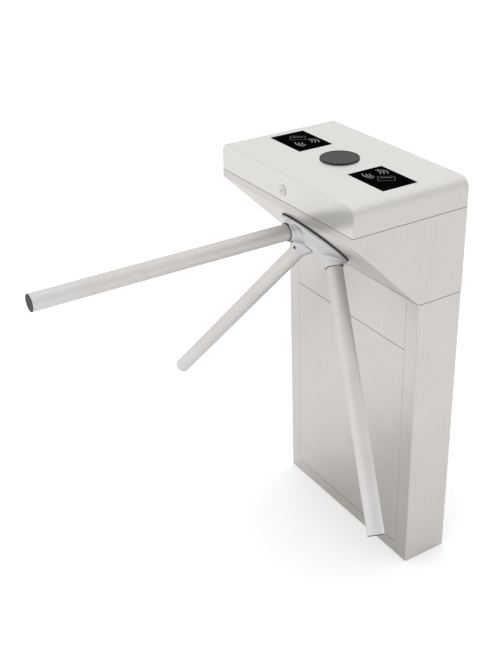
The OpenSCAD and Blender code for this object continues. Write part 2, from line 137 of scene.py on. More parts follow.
def ribbonOutline(points, widths):
    # a flat stroke that follows points, as one closed outline
    left, right = [], []
    for k, (x, y) in enumerate(points):
        a = points[max(k - 1, 0)]
        b = points[min(k + 1, len(points) - 1)]
        along = Vector((b[0] - a[0], b[1] - a[1])).normalized()
        side = Vector((-along.y, along.x)) * widths[k] / 2
        left.append((x + side.x, y + side.y))
        right.append((x - side.x, y - side.y))
    return right + left[::-1]


def nodeMesh(node):
    bm = bmesh.new()
    bm.from_mesh(frame["nodes"][node].data)
    bmesh.ops.remove_doubles(bm, verts=bm.verts, dist=2e-6)
    bmesh.ops.dissolve_limit(bm, angle_limit=0.006, verts=bm.verts, edges=bm.edges)
    return bm


def softenEdges(bm, width, segments=2, chosen=None, minAngle=25):
    # rounds the crisp edges and marks the new faces for an edge tone: wear on most pieces, painted shade
    # on the lid's bends
    if not bm.faces.layers.float.get("roundedEdge"):
        bm.faces.layers.float.new("roundedEdge")
    edges = [e for e in bm.edges if len(e.link_faces) == 2
             and e.calc_face_angle(0) > math.radians(minAngle) and (chosen is None or chosen(e))]
    made = bmesh.ops.bevel(bm, geom=edges, offset=width, offset_type="OFFSET", segments=segments,
                           profile=0.5, affect="EDGES", clamp_overlap=True)
    roundedEdge = bm.faces.layers.float.get("roundedEdge")
    for face in made["faces"]:
        face[roundedEdge] = 1.0
    return bm


def keepPlace(bm, place):
    # stores each point's place in the piece's own straight frame, for grain that follows the piece
    layer = bm.verts.layers.float_vector.get("tubePlace") or bm.verts.layers.float_vector.new("tubePlace")
    inverse = place.inverted()
    for vert in bm.verts:
        vert[layer] = inverse @ vert.co
    return bm


def addPiece(name, bm, material, body, replaced=(), creaseAngle=38):
    bmesh.ops.recalc_face_normals(bm, faces=bm.faces)
    mesh = bpy.data.meshes.new(name)
    for face in bm.faces:
        face.smooth = True
    for edge in bm.edges:
        if len(edge.link_faces) == 2 and edge.calc_face_angle(0) > math.radians(creaseAngle):
            edge.smooth = False
    bm.to_mesh(mesh)
    bm.free()
    piece = bpy.data.objects.new(name, mesh)
    bpy.context.scene.collection.objects.link(piece)
    mesh.materials.append(material)
    if creaseAngle < 60:  # large flat faces keep flat shading beside their rounded edges
        piece.modifiers.new("flatFaces", "WEIGHTED_NORMAL").keep_sharp = True
    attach(piece, body)
    if replaced:
        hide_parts(*replaced)
    return piece


# places taken from the frame

hubJoint = jointFacts("rotor_spin")
hubCentre = Vector(hubJoint["pos_m"])
hubTurn = Matrix.Rotation(math.radians(135), 4, "X")  # local Z leaves the slope, local Y climbs it
hubPlace = Matrix.Translation(hubCentre) @ hubTurn
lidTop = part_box("reader_window_right")[1].z
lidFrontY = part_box("lid_shell")[0].y
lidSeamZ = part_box("lid_shell")[0].z
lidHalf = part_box("lid_shell")[1].x

armFacts = {
    "apexDepth": 45 * mm,
    "radius": 19 * mm,
    "wall": 1.5 * mm,
    "start": 99 * mm,  # inside the clamp socket
    "reach": 714 * mm,
    "cap": 1.5 * mm,
    "lip": 0.6 * mm,
    "socket": 112 * mm,
}


def armPlace(i):
    spread = Matrix.Rotation(math.radians(120 * i), 4, "Z")
    lean = Matrix.Rotation(math.radians(-45), 4, "X")
    return hubPlace @ spread @ Matrix.Translation((0, 0, -armFacts["apexDepth"])) @ lean


# materials

# a painted shade band beside the hub, shared by the slope and the lid above it
shadePatch = {"centre": (0.170, -0.235, 0.944), "climb": 0.42, "reach": (0.25, 0.09, 0.035)}


def brushedMetal(name, look):
    material, tree, shader = newMaterial(name)
    coords = addNode(tree, "ShaderNodeTexCoord")
    ground = coords.outputs["Object"]
    if "ownPlace" in look:  # turned pieces carry their own straightened place
        own = addNode(tree, "ShaderNodeAttribute", {"attribute_name": look["ownPlace"]})
        ground = own.outputs["Vector"]
    stretched = addNode(tree, "ShaderNodeMapping", {"Scale": look["grain"]}, {"Vector": ground})
    grain = addNode(tree, "ShaderNodeTexNoise", {"Scale": 1.0, "Detail": 3.0, "Roughness": 0.65},
                    {"Vector": stretched.outputs["Vector"]})
    grainValue = grain.outputs["Fac"]
    facing = addNode(tree, "ShaderNodeNewGeometry")
    split = addNode(tree, "ShaderNodeSeparateXYZ", {}, {"Vector": facing.outputs["True Normal"]})
    sideways = addNode(tree, "ShaderNodeMath", {"operation": "ABSOLUTE"}, {0: split.outputs["X"]})
    if "endGrain" in look:  # faces square to X are brushed the other way
        turned = addNode(tree, "ShaderNodeMapping", {"Scale": look["endGrain"]},
                         {"Vector": coords.outputs["Object"]})
        endNoise = addNode(tree, "ShaderNodeTexNoise", {"Scale": 1.0, "Detail": 3.0, "Roughness": 0.65},
                           {"Vector": turned.outputs["Vector"]})
        chosen = addNode(tree, "ShaderNodeMix", {"data_type": "FLOAT"},
                         {0: sideways.outputs[0], 2: grainValue, 3: endNoise.outputs["Fac"]})
        grainValue = chosen.outputs[0]
    clouds = addNode(tree, "ShaderNodeTexNoise",
                     {"Scale": look["cloudScale"], "Detail": 5.0, "Roughness": 0.6},
                     {"Vector": coords.outputs["Object"]})
    roundedEdge = addNode(tree, "ShaderNodeAttribute", {"attribute_name": "roundedEdge"})
    contrast = addNode(tree, "ShaderNodeMapRange", {"From Min": 0.3, "From Max": 0.7},
                       {"Value": grainValue})
    tone = addNode(tree, "ShaderNodeMixRGB",
                   {"Color1": hexLinear(look["dark"]), "Color2": hexLinear(look["light"])},
                   {"Fac": contrast.outputs[0]})
    veil = addNode(tree, "ShaderNodeMapRange",
                   {"From Min": 0.35, "From Max": 0.75, "To Min": 0.0, "To Max": look["cloudMix"]},
                   {"Value": clouds.outputs["Fac"]})
    clouded = addNode(tree, "ShaderNodeMixRGB", {"Color2": hexLinear(look["cloud"])},
                      {"Fac": veil.outputs[0], "Color1": tone.outputs["Color"]})
    # edge tone on the rounded faces: wear, and on the lid painted shade
    edgeShare = addNode(tree, "ShaderNodeMath", {"operation": "MULTIPLY", 1: look.get("edgeWearAndShadeMix", 0.7)},
                     {0: roundedEdge.outputs["Fac"]})
    edgeWearAndShade = addNode(tree, "ShaderNodeMixRGB", {"Color2": hexLinear(look["edgeWearAndShade"])},
                   {"Fac": edgeShare.outputs[0], "Color1": clouded.outputs["Color"]})
    finalColour = edgeWearAndShade.outputs["Color"]
    if "sleeve" in look:  # the outer end of each arm has a cooler tone
        along = addNode(tree, "ShaderNodeSeparateXYZ", {}, {"Vector": ground})
        far = addNode(tree, "ShaderNodeMapRange", {"From Min": look["sleeveFrom"],
                                                   "From Max": look["sleeveFrom"] + 0.03, "To Max": 0.8},
                      {"Value": along.outputs["Z"]})
        cooled = addNode(tree, "ShaderNodeMixRGB", {"Color2": hexLinear(look["sleeve"])},
                         {"Fac": far.outputs[0], "Color1": finalColour})
        finalColour = cooled.outputs["Color"]
    if "footShade" in look:  # painted shade at the foot, standing in for the shadowed floor seen in the sheet: climbing to the right in front, thin on the ends
        heights = addNode(tree, "ShaderNodeSeparateXYZ", {}, {"Vector": coords.outputs["Object"]})
        low, high = look["footShadeHeight"]
        inFront = addNode(tree, "ShaderNodeMapRange", {"From Min": 0.3, "From Max": -0.3, "To Max": -1.0},
                          {"Value": split.outputs["Y"]})
        leaning = addNode(tree, "ShaderNodeMath", {"operation": "MULTIPLY_ADD"},
                          {0: heights.outputs["X"], 1: inFront.outputs[0], 2: heights.outputs["Z"]})
        uneven = addNode(tree, "ShaderNodeMath", {"operation": "MULTIPLY_ADD", 1: -0.10},
                         {0: clouds.outputs["Fac"], 2: leaning.outputs[0]})
        foot = addNode(tree, "ShaderNodeMapRange",
                       {"interpolation_type": "SMOOTHERSTEP", "From Min": low, "From Max": high,
                        "To Min": look["footShadeMix"], "To Max": 0.0},
                       {"Value": uneven.outputs[0]})
        thinned = addNode(tree, "ShaderNodeMapRange", {"To Min": 1.0, "To Max": 0.2},
                          {"Value": sideways.outputs[0]})
        footShadeAmount = addNode(tree, "ShaderNodeMath", {"operation": "MULTIPLY"},
                          {0: foot.outputs[0], 1: thinned.outputs[0]})
        footShaded = addNode(tree, "ShaderNodeMixRGB", {"Color2": hexLinear(look["footShade"])},
                        {"Fac": footShadeAmount.outputs[0], "Color1": finalColour})
        finalColour = footShaded.outputs["Color"]
    if "endShade" in look:  # painted shade: faces square to X, the folded ends, are toned darker as if less light fell on them; they are also brushed across
        endShare = addNode(tree, "ShaderNodeMath", {"operation": "MULTIPLY", 1: 0.6},
                           {0: sideways.outputs[0]})
        endMix = addNode(tree, "ShaderNodeMixRGB", {"Color2": hexLinear(look["endShade"])},
                         {"Fac": endShare.outputs[0], "Color1": finalColour})
        finalColour = endMix.outputs["Color"]
    if "shadeBand" in look:  # painted shade: a long soft dark band, thinning to nothing at its reach
        patch = addNode(tree, "ShaderNodeMapping",
                        {"vector_type": "TEXTURE", "Location": shadePatch["centre"],
                         "Rotation": (0, -shadePatch["climb"], 0), "Scale": shadePatch["reach"]},
                        {"Vector": coords.outputs["Object"]})
        ball = addNode(tree, "ShaderNodeTexGradient", {"gradient_type": "SPHERICAL"},
                       {"Vector": patch.outputs["Vector"]})
        bandFade = addNode(tree, "ShaderNodeMapRange",
                          {"interpolation_type": "SMOOTHERSTEP", "From Max": 0.8,
                           "To Max": look["shadeBandMix"]},
                          {"Value": ball.outputs["Fac"]})
        frontal = addNode(tree, "ShaderNodeMapRange", {"From Min": -0.3, "From Max": -0.65},
                          {"Value": split.outputs["Y"]})
        kept = addNode(tree, "ShaderNodeMath", {"operation": "MULTIPLY"},
                       {0: bandFade.outputs[0], 1: frontal.outputs[0]})
        banded = addNode(tree, "ShaderNodeMixRGB", {"Color2": hexLinear(look["shadeBand"])},
                          {"Fac": kept.outputs[0], "Color1": finalColour})
        finalColour = banded.outputs["Color"]
    rough = addNode(tree, "ShaderNodeMapRange",
                    {"To Min": look["rough"] - look["swing"], "To Max": look["rough"] + look["swing"]},
                    {"Value": grainValue})
    smudge = addNode(tree, "ShaderNodeMath", {"operation": "MULTIPLY_ADD", 1: look["smudge"]},
                     {0: clouds.outputs["Fac"], 2: rough.outputs[0]})
    bump = addNode(tree, "ShaderNodeBump", {"Strength": look["bump"], "Distance": 0.0004},
                   {"Height": grainValue})
    shader.inputs["Metallic"].default_value = 1.0
    tree.links.new(finalColour, shader.inputs["Base Color"])
    tree.links.new(smudge.outputs[0], shader.inputs["Roughness"])
    tree.links.new(bump.outputs["Normal"], shader.inputs["Normal"])
    return material


def castMetal(name, look):
    material, tree, shader = newMaterial(name)
    coords = addNode(tree, "ShaderNodeTexCoord")
    grit = addNode(tree, "ShaderNodeTexNoise",
                   {"Scale": look["gritScale"], "Detail": 4.0, "Roughness": 0.7},
                   {"Vector": coords.outputs["Object"]})
    clouds = addNode(tree, "ShaderNodeTexNoise", {"Scale": look["cloudScale"], "Detail": 4.0},
                     {"Vector": coords.outputs["Object"]})
    roundedEdge = addNode(tree, "ShaderNodeAttribute", {"attribute_name": "roundedEdge"})
    tone = addNode(tree, "ShaderNodeMixRGB",
                   {"Color1": hexLinear(look["dark"]), "Color2": hexLinear(look["light"])},
                   {"Fac": clouds.outputs["Fac"]})
    edgeWearAndShade = addNode(tree, "ShaderNodeMixRGB", {"Color2": hexLinear(look["edgeWearAndShade"])},
                   {"Fac": roundedEdge.outputs["Fac"], "Color1": tone.outputs["Color"]})
    rough = addNode(tree, "ShaderNodeMapRange", {"To Min": look["rough"] - look["swing"],
                                                 "To Max": look["rough"] + look["swing"]},
                    {"Value": grit.outputs["Fac"]})
    bump = addNode(tree, "ShaderNodeBump", {"Strength": look["bump"], "Distance": 0.0005},
                   {"Height": grit.outputs["Fac"]})
    shader.inputs["Metallic"].default_value = look.get("metallic", 1.0)
    tree.links.new(edgeWearAndShade.outputs["Color"], shader.inputs["Base Color"])
    tree.links.new(rough.outputs[0], shader.inputs["Roughness"])
    tree.links.new(bump.outputs["Normal"], shader.inputs["Normal"])
    return material


def mouldedPlastic(name, look):
    material, tree, shader = newMaterial(name)
    coords = addNode(tree, "ShaderNodeTexCoord")
    texture = addNode(tree, "ShaderNodeTexVoronoi", {"Scale": look["textureScale"]},
                      {"Vector": coords.outputs["Object"]})
    clouds = addNode(tree, "ShaderNodeTexNoise",
                     {"Scale": look["cloudScale"], "Detail": 5.0, "Roughness": 0.6},
                     {"Vector": coords.outputs["Object"]})
    tone = addNode(tree, "ShaderNodeMixRGB",
                   {"Color1": hexLinear(look["dark"]), "Color2": hexLinear(look["light"])},
                   {"Fac": clouds.outputs["Fac"]})
    roundedEdge = addNode(tree, "ShaderNodeAttribute", {"attribute_name": "roundedEdge"})
    edgeShare = addNode(tree, "ShaderNodeMath", {"operation": "MULTIPLY", 1: 0.5}, {0: roundedEdge.outputs["Fac"]})
    edgeWearAndShade = addNode(tree, "ShaderNodeMixRGB", {"Color2": hexLinear(look["edgeWearAndShade"])},
                   {"Fac": edgeShare.outputs[0], "Color1": tone.outputs["Color"]})
    rough = addNode(tree, "ShaderNodeMapRange", {"To Min": look["rough"] - look["swing"],
                                                 "To Max": look["rough"] + look["swing"]},
                    {"Value": clouds.outputs["Fac"]})
    bump = addNode(tree, "ShaderNodeBump", {"Strength": look["bump"], "Distance": 0.0003},
                   {"Height": texture.outputs["Distance"]})
    shader.inputs["IOR"].default_value = look["ior"]
    shader.inputs["Specular IOR Level"].default_value = look["specular"]
    tree.links.new(edgeWearAndShade.outputs["Color"], shader.inputs["Base Color"])
    tree.links.new(rough.outputs[0], shader.inputs["Roughness"])
    tree.links.new(bump.outputs["Normal"], shader.inputs["Normal"])
    return material


# grain is about 0.2 mm wide on the real sheet; drawn 1.1 mm wide and 60 mm long so that it shows
fineAcross = 1 / (1.1 * mm)
fineAlong = 1 / (60 * mm)

cabinetSheet = brushedMetal("satin stainless sheet", {  # soft grey-white sheen with upright brush lines
    "light": "#CDC9C6", "dark": "#C6C2BF", "cloud": "#BFBBB7", "edgeWearAndShade": "#DAD6D3",
    "grain": (fineAcross, fineAcross, fineAlong), "cloudScale": 7.0, "cloudMix": 0.35,
    "rough": 0.40, "swing": 0.05, "smudge": 0.06, "bump": 0.06,
    # painted shade at the foot of the cabinet
    "footShade": "#8E8C88", "footShadeHeight": (-0.05, 0.33), "footShadeMix": 0.46,
    # painted shade band beside the hub
    "shadeBand": "#8A8785", "shadeBandMix": 0.60,
})
lidSheet = brushedMetal("fine satin stainless lid", {  # paler and finer, brushed along the cabinet
    # the lid's edge tone is darker than its sheet: painted shade on the rounded bends
    "light": "#D9D8D6", "dark": "#D3D2CF", "cloud": "#CDCBC8", "edgeWearAndShade": "#CBCAC7", "edgeWearAndShadeMix": 0.5,
    "grain": (fineAlong, fineAcross, fineAcross), "endGrain": (fineAcross, fineAlong, fineAcross),
    "cloudScale": 6.0, "cloudMix": 0.30,
    "rough": 0.44, "swing": 0.05, "smudge": 0.05, "bump": 0.07,
    # painted shade band beside the hub
    # painted shade on the folded ends
    "shadeBand": "#8A8785", "shadeBandMix": 0.60, "endShade": "#C0BCB9",
})
tubeSteel = brushedMetal("polished stainless tube", {  # brighter, with a soft highlight along the tube
    "light": "#D4D1CE", "dark": "#CCC9C6", "cloud": "#C6C3C0", "edgeWearAndShade": "#E4E3E2",
    "grain": (fineAlong, fineAlong, 1 / (1.6 * mm)), "cloudScale": 9.0, "cloudMix": 0.35,
    "ownPlace": "tubePlace",
    "rough": 0.54, "swing": 0.04, "smudge": 0.06, "bump": 0.02,
    "sleeve": "#D2D1D1", "sleeveFrom": 0.590,
})
turnedSteel = brushedMetal("ground bearing steel", {  # clean cool grey of machined parts
    "light": "#D4D5D6", "dark": "#BCBDBF", "cloud": "#A6A7A9", "edgeWearAndShade": "#FFFFFF",
    "grain": (700.0, 120.0, 120.0), "cloudScale": 30.0, "cloudMix": 0.3,
    "rough": 0.28, "swing": 0.05, "smudge": 0.08, "bump": 0.06,
})
hingeSteel = brushedMetal("satin stainless hinge leaf", {  # near the cabinet's tone, brushed lengthwise
    "light": "#C9C6C3", "dark": "#C2BFBC", "cloud": "#BAB7B3", "edgeWearAndShade": "#DAD6D3",
    "grain": (fineAlong, fineAcross, fineAcross), "cloudScale": 9.0, "cloudMix": 0.3,
    "rough": 0.40, "swing": 0.04, "smudge": 0.06, "bump": 0.04,
})
zincPlate = brushedMetal("zinc plated steel", {  # plain grey plate
    "light": "#C6C4C2", "dark": "#BFBDBA", "cloud": "#B6B3AE", "edgeWearAndShade": "#E9E7E4",
    "grain": (60.0, 260.0, 260.0), "cloudScale": 14.0, "cloudMix": 0.3,
    "rough": 0.40, "swing": 0.03, "smudge": 0.06, "bump": 0.02,
})
hubAlloy = castMetal("bead blasted aluminium casting", {  # cool even grey, the blasting grain just visible
    "light": "#C9C9C9", "dark": "#BABABA", "edgeWearAndShade": "#DADADA",
    "gritScale": 1 / (1.6 * mm), "cloudScale": 18.0,
    "rough": 0.36, "swing": 0.07, "bump": 0.22,
})
lockPlate = castMetal("plated zinc lock", {  # small bright nickel part
    "light": "#D0CECA", "dark": "#C2BFBA", "edgeWearAndShade": "#E8E6E2",
    "gritScale": 1 / (1.0 * mm), "cloudScale": 60.0,
    "rough": 0.18, "swing": 0.05, "bump": 0.05,
})
blackSteel = castMetal("blackened steel", {  # oxide black with rubbed lighter edges
    "light": "#4A4B4D", "dark": "#2C2D2F", "edgeWearAndShade": "#8B8C8E",
    "gritScale": 1 / (2.2 * mm), "cloudScale": 26.0,
    "rough": 0.48, "swing": 0.10, "bump": 0.25, "metallic": 0.85,
})
copperTrack = castMetal("tinned copper track", {
    "light": "#D9A679", "dark": "#C08A5E", "edgeWearAndShade": "#EFCDA8",
    "gritScale": 1 / (0.8 * mm), "cloudScale": 90.0,
    "rough": 0.30, "swing": 0.06, "bump": 0.05,
})
acrylicBlack = mouldedPlastic("polished black acrylic", {  # deep black face with no gloss of its own
    "light": "#070808", "dark": "#030303", "edgeWearAndShade": "#1A1A1A", "textureScale": 300.0, "cloudScale": 12.0,
    "rough": 0.16, "swing": 0.05, "bump": 0.0, "ior": 1.49, "specular": 0.0,
})
smokedLens = mouldedPlastic("smoked polycarbonate", {  # even dark grey disc
    "light": "#333334", "dark": "#2C2C2D", "edgeWearAndShade": "#282828",
    "textureScale": 1 / (1.6 * mm), "cloudScale": 20.0,
    "rough": 0.46, "swing": 0.06, "bump": 0.10, "ior": 1.58, "specular": 0.12,
})
mouldedBlack = mouldedPlastic("moulded black nylon", {  # fine spark texture from the mould
    "light": "#1D1D1E", "dark": "#121213", "edgeWearAndShade": "#3A3A3B",
    "textureScale": 1 / (1.2 * mm), "cloudScale": 24.0,
    "rough": 0.55, "swing": 0.08, "bump": 0.20, "ior": 1.53, "specular": 0.35,
})
sealRubber = mouldedPlastic("matt black rubber", {  # dull and slightly dusty
    "light": "#484847", "dark": "#3A3A39", "edgeWearAndShade": "#565655",
    "textureScale": 1 / (0.9 * mm), "cloudScale": 40.0,
    "rough": 0.82, "swing": 0.06, "bump": 0.15, "ior": 1.52, "specular": 0.25,
})
markInk = mouldedPlastic("white screen print", {  # thin ink, a little uneven
    "light": "#9A9A9A", "dark": "#5E5E5E", "edgeWearAndShade": "#FFFFFF",
    "textureScale": 1 / (1.5 * mm), "cloudScale": 90.0,
    "rough": 0.55, "swing": 0.05, "bump": 0.03, "ior": 1.50, "specular": 0.30,
})
faintInk = mouldedPlastic("grey screen print", {
    "light": "#3A3A3A", "dark": "#222222", "edgeWearAndShade": "#FFFFFF",
    "textureScale": 1 / (1.5 * mm), "cloudScale": 90.0,
    "rough": 0.55, "swing": 0.05, "bump": 0.03, "ior": 1.50, "specular": 0.30,
})


def solderMask(name, look):
    material, tree, shader = newMaterial(name)
    coords = addNode(tree, "ShaderNodeTexCoord")
    tracks = addNode(tree, "ShaderNodeTexVoronoi", {"distance": "CHEBYCHEV", "feature": "F1",
                                                    "Scale": look["trackScale"], "Randomness": 0.9},
                     {"Vector": coords.outputs["Object"]})
    edges = addNode(tree, "ShaderNodeMath", {"operation": "PINGPONG", 1: 0.09},
                    {0: tracks.outputs["Distance"]})
    lines = addNode(tree, "ShaderNodeMapRange", {"From Min": 0.05, "From Max": 0.07},
                    {"Value": edges.outputs[0]})
    tone = addNode(tree, "ShaderNodeMixRGB",
                   {"Color1": hexLinear(look["mask"]), "Color2": hexLinear(look["track"])},
                   {"Fac": lines.outputs[0]})
    rough = addNode(tree, "ShaderNodeMapRange", {"To Min": 0.32, "To Max": 0.42},
                    {"Value": lines.outputs[0]})
    bump = addNode(tree, "ShaderNodeBump", {"Strength": 0.3, "Distance": 0.0002},
                   {"Height": lines.outputs[0]})
    shader.inputs["IOR"].default_value = 1.5
    tree.links.new(tone.outputs["Color"], shader.inputs["Base Color"])
    tree.links.new(rough.outputs[0], shader.inputs["Roughness"])
    tree.links.new(bump.outputs["Normal"], shader.inputs["Normal"])
    return material


boardGreen = solderMask("green solder mask", {
    "mask": "#1C4A30", "track": "#2E6B45", "trackScale": 1 / (9 * mm),
})

slotMaterials = {
    "cabinet_sheet": cabinetSheet, "lid_sheet": lidSheet, "arm_stainless": tubeSteel,
    "cast_aluminium": hubAlloy, "machined_steel": turnedSteel, "zinc_steel": zincPlate,
    "dark_metal": blackSteel, "plated_zinc": lockPlate, "window_acrylic": acrylicBlack,
    "smoked_lens": smokedLens, "black_plastic": mouldedBlack, "black_rubber": sealRubber,
    "printed_mark": markInk, "circuit_board": boardGreen,
}
for name, node in frame["nodes"].items():
    for holder in node.material_slots:
        wanted = holder.material.name.split(".")[0] if holder.material else ""
        if name.startswith("hinge_"):
            holder.material = hingeSteel
        elif wanted in slotMaterials:
            holder.material = slotMaterials[wanted]
        else:
            print("slot not matched", name, wanted)
print("materials ready")


# cabinet sheet metal

sheetEdges = {"sheet": 0.5 * mm, "lidFront": 2.4 * mm, "lidBack": 1.2 * mm, "small": 0.35 * mm}

for node, label in (("pedestal_side_left", "pedestalSideLeft"),
                    ("pedestal_side_right", "pedestalSideRight"),
                    ("service_panel", "servicePanel"), ("pedestal_upper_panel", "upperPanel"),
                    ("plinth_strip", "plinthStrip"), ("pedestal_back_panel", "pedestalBack"),
                    ("head_back_panel", "headBack"), ("head_slope_plate", "slopePlate"),
                    ("head_cheek_left", "cheekLeft"), ("head_cheek_right", "cheekRight")):
    shape = softenEdges(nodeMesh(node), sheetEdges["sheet"])
    addPiece(label, shape, cabinetSheet, "cabinet", (node,))


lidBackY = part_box("lid_shell")[1].y
lidCorner = 27 * mm  # how far below the top the folded corners reach


def outsideLid(edge):
    # the outline of the folded lid, not its holes and not its lower rim
    middle = (edge.verts[0].co + edge.verts[1].co) / 2
    high = middle.z > lidTop - lidCorner
    return min(v.co.z for v in edge.verts) > lidSeamZ + 1e-4 and high or abs(middle.x) > lidHalf - 1e-4


def onLidFront(edge):
    return all(abs(v.co.y - lidFrontY) < 1e-5 for v in edge.verts) and outsideLid(edge)


def onLidBack(edge):
    return all(abs(v.co.y - lidBackY) < 1e-5 for v in edge.verts) and outsideLid(edge)


lidShape = nodeMesh("lid_shell")
softenEdges(lidShape, sheetEdges["lidFront"], 4, onLidFront)
softenEdges(lidShape, sheetEdges["lidBack"], 3, onLidBack)
softenEdges(lidShape, sheetEdges["small"], 2, None, 60)
addPiece("lidShell", lidShape, lidSheet, "lid", ("lid_shell",))
print("sheet metal done")


# reader windows with their printed marks

windowFacts = {"edge": 0.5 * mm, "ink": 0.1 * mm, "lift": 0.03 * mm, "stroke": 2.3 * mm, "bow": 3.5,
               "pad": (6, 9, 6)}
cardFacts = {"line": 1.8 * mm, "wide": 38 * mm, "deep": 28 * mm, "corner": 4 * mm, "turn": 57,
             "stripeHalf": 13 * mm, "stripeLow": 3 * mm, "stripeHigh": 8 * mm}


def bent(start, end, bow, steps=8):
    # an arc from start to end that bows sideways by bow
    a, b = Vector(start), Vector(end)
    side = Vector((-(b - a).y, (b - a).x)).normalized() * bow
    return [tuple(a.lerp(b, k / steps) + side * math.sin(math.pi * k / steps)) for k in range(steps + 1)]


def flatRing(bm, place, outer, inner, low, high):
    # a flat frame between two outlines of the same count
    loops = [[[bm.verts.new(place @ Vector((x, y, z))) for x, y in loop] for loop in (outer, inner)]
             for z in (low, high)]
    count = len(outer)
    for k in range(count):
        n = (k + 1) % count
        bm.faces.new((loops[1][0][k], loops[1][0][n], loops[1][1][n], loops[1][1][k]))
        bm.faces.new((loops[0][0][n], loops[0][0][k], loops[0][1][k], loops[0][1][n]))
        bm.faces.new((loops[0][0][k], loops[0][0][n], loops[1][0][n], loops[1][0][k]))
        bm.faces.new((loops[0][1][n], loops[0][1][k], loops[1][1][k], loops[1][1][n]))
    return bm


def inMetres(points, shift=0):
    return [((x + shift) * mm, y * mm) for x, y in points]


# each wave mark is a soft pad with three bent strokes that leave it
waveMarks = [
    {"pad": [(-48, 18), (-45, 25), (-39, 32)],
     "strokes": [((-40, 33), (-15, 28)), ((-41, 27), (-18, 19)), ((-43, 20), (-23, 13))]},
    {"pad": [(-21, -7), (-16, -14), (-14, -23)],
     "strokes": [((-21, -7), (-37, -5)), ((-19, -14), (-41, -12)), ((-17, -21), (-48, -18))]},
]
markSpots = {"Left": {"waveShift": 48, "card": (-22, 5)}, "Right": {"waveShift": 0, "card": (6.6, 6.2)}}
lowInk, highInk = windowFacts["lift"], windowFacts["lift"] + windowFacts["ink"]

for side, node in (("Left", "reader_window_left"), ("Right", "reader_window_right")):
    shape = softenEdges(nodeMesh(node), windowFacts["edge"], 3)
    addPiece("window" + side, shape, acrylicBlack, "lid", (node,))
    low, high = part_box(node)
    place = Matrix.Translation(((low.x + high.x) / 2, (low.y + high.y) / 2, high.z))
    strokes, faint = bmesh.new(), bmesh.new()
    for mark in waveMarks:
        shift = markSpots[side]["waveShift"]
        pad = ribbonOutline(inMetres(mark["pad"], shift), [w * mm for w in windowFacts["pad"]])
        prism(pad, lowInk, highInk, place, faint)
        for start, end in mark["strokes"]:
            line = inMetres(bent(start, end, windowFacts["bow"]), shift)
            last = len(line) - 1
            swell = [0.7 + 0.5 * math.sin(math.pi * k / last) for k in range(last + 1)]
            widths = [windowFacts["stroke"] * share for share in swell]
            prism(ribbonOutline(line, widths), lowInk, highInk, place, strokes)
    addPiece("waveStrokes" + side, strokes, markInk, "lid")
    cardX, cardY = markSpots[side]["card"]
    spot = place @ Matrix.Translation((cardX * mm, cardY * mm, 0))
    spot = spot @ Matrix.Rotation(math.radians(cardFacts["turn"]), 4, "Z")
    line, wide, deep = cardFacts["line"], cardFacts["wide"], cardFacts["deep"]
    flatRing(faint, spot, roundedOutline(wide, deep, cardFacts["corner"]),
             roundedOutline(wide - 2 * line, deep - 2 * line, cardFacts["corner"] - line * 0.8),
             lowInk, highInk)
    half, stripeLow, stripeHigh = cardFacts["stripeHalf"], cardFacts["stripeLow"], cardFacts["stripeHigh"]
    stripe = [(-half, stripeHigh), (half, stripeHigh), (half, stripeLow), (-half, stripeLow)]
    prism(stripe, lowInk, highInk, spot, faint)
    addPiece("cardMark" + side, faint, faintInk, "lid")

# indicator disc

discFacts = {"lensR": 42.4 * mm, "lensTop": 3.4 * mm, "lensRound": 0.6 * mm, "rimIn": 42.6 * mm,
             "rimOut": 45 * mm, "rimTop": 4 * mm, "rimRound": 1.2 * mm, "neckR": 36 * mm,
             "neckDepth": 8 * mm, "seat": 0.02 * mm}
discLow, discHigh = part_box("indicator_bezel")
discPlace = Matrix.Translation(((discLow.x + discHigh.x) / 2, (discLow.y + discHigh.y) / 2, lidTop))
lensTop, lensRound, seat = discFacts["lensTop"], discFacts["lensRound"], discFacts["seat"]
lensProfile = [(0, lensTop - 0.3 * mm), (20 * mm, lensTop - 0.25 * mm), (36 * mm, lensTop - 0.1 * mm)]
lensProfile += roundedCorner(discFacts["lensR"] - lensRound, lensTop - lensRound, lensRound, 0)[::-1]
lensProfile += [(discFacts["lensR"], seat), (discFacts["neckR"], seat),
                (discFacts["neckR"], -discFacts["neckDepth"]), (0, -discFacts["neckDepth"])]
addPiece("indicatorLens", lathe(lensProfile, discPlace, 96), smokedLens, "lid",
         ("indicator_lens",))
rimIn, rimTop, rimRound = discFacts["rimIn"], discFacts["rimTop"], discFacts["rimRound"]
rimProfile = [(rimIn, seat), (rimIn, rimTop - 0.3 * mm), (rimIn + 0.3 * mm, rimTop)]
rimProfile += roundedCorner(discFacts["rimOut"] - rimRound, rimTop - rimRound, rimRound, 0)[::-1]
rimProfile += [(discFacts["rimOut"], seat)]
addPiece("indicatorRim", lathe(rimProfile, discPlace, 96), mouldedBlack, "lid",
         ("indicator_bezel",))
print("readers and indicator done")


# arms

def tubeProfile():
    f = armFacts
    outer, inner, lip = f["radius"], f["radius"] - f["wall"], f["lip"]
    top = f["reach"] - f["cap"] - 0.1 * mm
    points = [(outer, f["start"])]
    points += [(outer, f["start"] + (top - f["start"]) * k / 12) for k in range(1, 12)]
    points += roundedCorner(outer - lip, top - lip, lip, 0)
    points += roundedCorner(inner + lip, top - lip, lip, 90)[1:]
    points += [(inner, f["start"])]
    return points


def plugProfile():
    stem = armFacts["radius"] - armFacts["wall"] - 0.05 * mm
    rim, top = armFacts["radius"] - 0.15 * mm, armFacts["reach"]
    under = top - armFacts["cap"]
    return [(0, top - 0.3 * mm), (rim - 4 * mm, top - 0.15 * mm), (rim - 1.4 * mm, top),
            (rim - 0.4 * mm, top - 0.2 * mm), (rim, top - 0.7 * mm), (rim, under), (stem, under),
            (stem, top - 20 * mm),
            (stem - 2.5 * mm, top - 20 * mm), (stem - 2.5 * mm, top - 4 * mm), (0, top - 4 * mm)]


